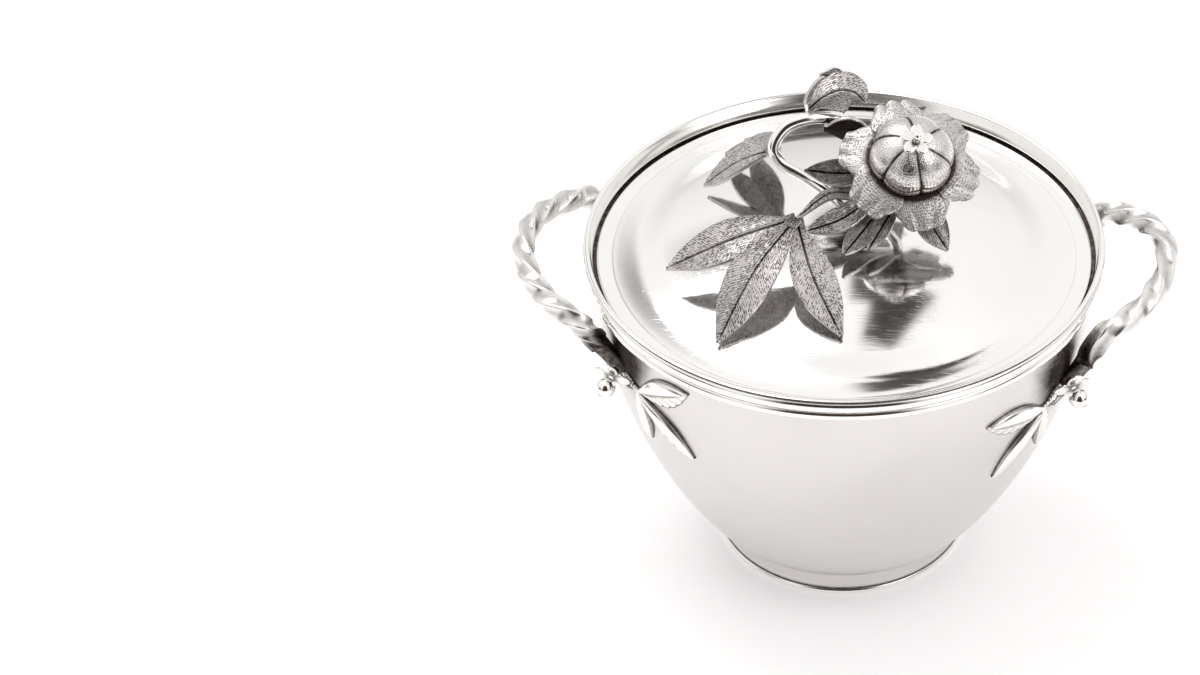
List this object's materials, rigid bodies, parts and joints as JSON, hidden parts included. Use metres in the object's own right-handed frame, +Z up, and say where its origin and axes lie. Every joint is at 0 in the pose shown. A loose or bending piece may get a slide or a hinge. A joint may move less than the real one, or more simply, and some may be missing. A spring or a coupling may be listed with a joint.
{
  "type": "covered sugar bowl",
  "caption": "Silver covered sugar bowl: tapered bucket body on a ring foot, two twisted-bar loop handles with leaf and blossom sprays, lift-off domed lid with a flower finial.",
  "frame": {"origin": "centre of the foot's flat underside", "axes": "+Z up through the bowl's axis, +X through the middle of the right handle, -Y towards the side the finial's large leaves point to"},
  "size_m": [0.1536, 0.12, 0.118],
  "materials": {
    "satin_silver": "satin silver",
    "polished_silver": "polished silver",
    "stippled_silver": "stippled, darkened in the recesses"
  },
  "bodies": {
    "bowl": {"bowl_shell": "satin_silver", "rim_moulding": "polished_silver", "lower_rim_wire": "polished_silver", "foot_ring": "satin_silver", "foot_wire": "polished_silver", "handle_right": "polished_silver", "handle_root_right_front": "satin_silver", "leaf_spray_right_front": "satin_silver", "blossom_right_front": "polished_silver", "berry_right_front": "polished_silver", "handle_root_right_back": "satin_silver", "leaf_spray_right_back": "satin_silver", "blossom_right_back": "polished_silver", "berry_right_back": "polished_silver", "handle_left": "polished_silver", "handle_root_left_back": "satin_silver", "leaf_spray_left_back": "satin_silver", "blossom_left_back": "polished_silver", "berry_left_back": "polished_silver", "handle_root_left_front": "satin_silver", "leaf_spray_left_front": "satin_silver", "blossom_left_front": "polished_silver", "berry_left_front": "polished_silver"},
    "lid": {"lid_dome": "polished_silver", "lid_bezel": "satin_silver", "finial_boss": "polished_silver", "finial_washer": "satin_silver", "finial_nut": "satin_silver", "finial_stalk": "polished_silver", "front_leaf_spray": "stippled_silver", "rear_left_leaf_spray": "stippled_silver", "crest_leaf": "stippled_silver", "curled_leaf": "stippled_silver", "rear_under_leaf": "stippled_silver", "bract_leaf_left": "stippled_silver", "bract_leaf_front_left": "stippled_silver", "bract_leaf_front": "stippled_silver", "bract_leaf_front_small": "stippled_silver", "bract_leaf_front_right": "stippled_silver", "bract_leaf_rear_right": "stippled_silver", "flower_cup": "stippled_silver", "outer_petal_1": "stippled_silver", "outer_petal_2": "stippled_silver", "outer_petal_3": "stippled_silver", "outer_petal_4": "stippled_silver", "outer_petal_5": "stippled_silver", "outer_petal_6": "stippled_silver", "bud": "stippled_silver", "floret": "polished_silver", "floret_seed": "polished_silver"}
  },
  "joints": [
    {"name": "lid_lift", "type": "slide", "parent": "bowl", "child": "lid", "axis": [0, 0, 1], "range_m": [0, 0.06]}
  ]
}
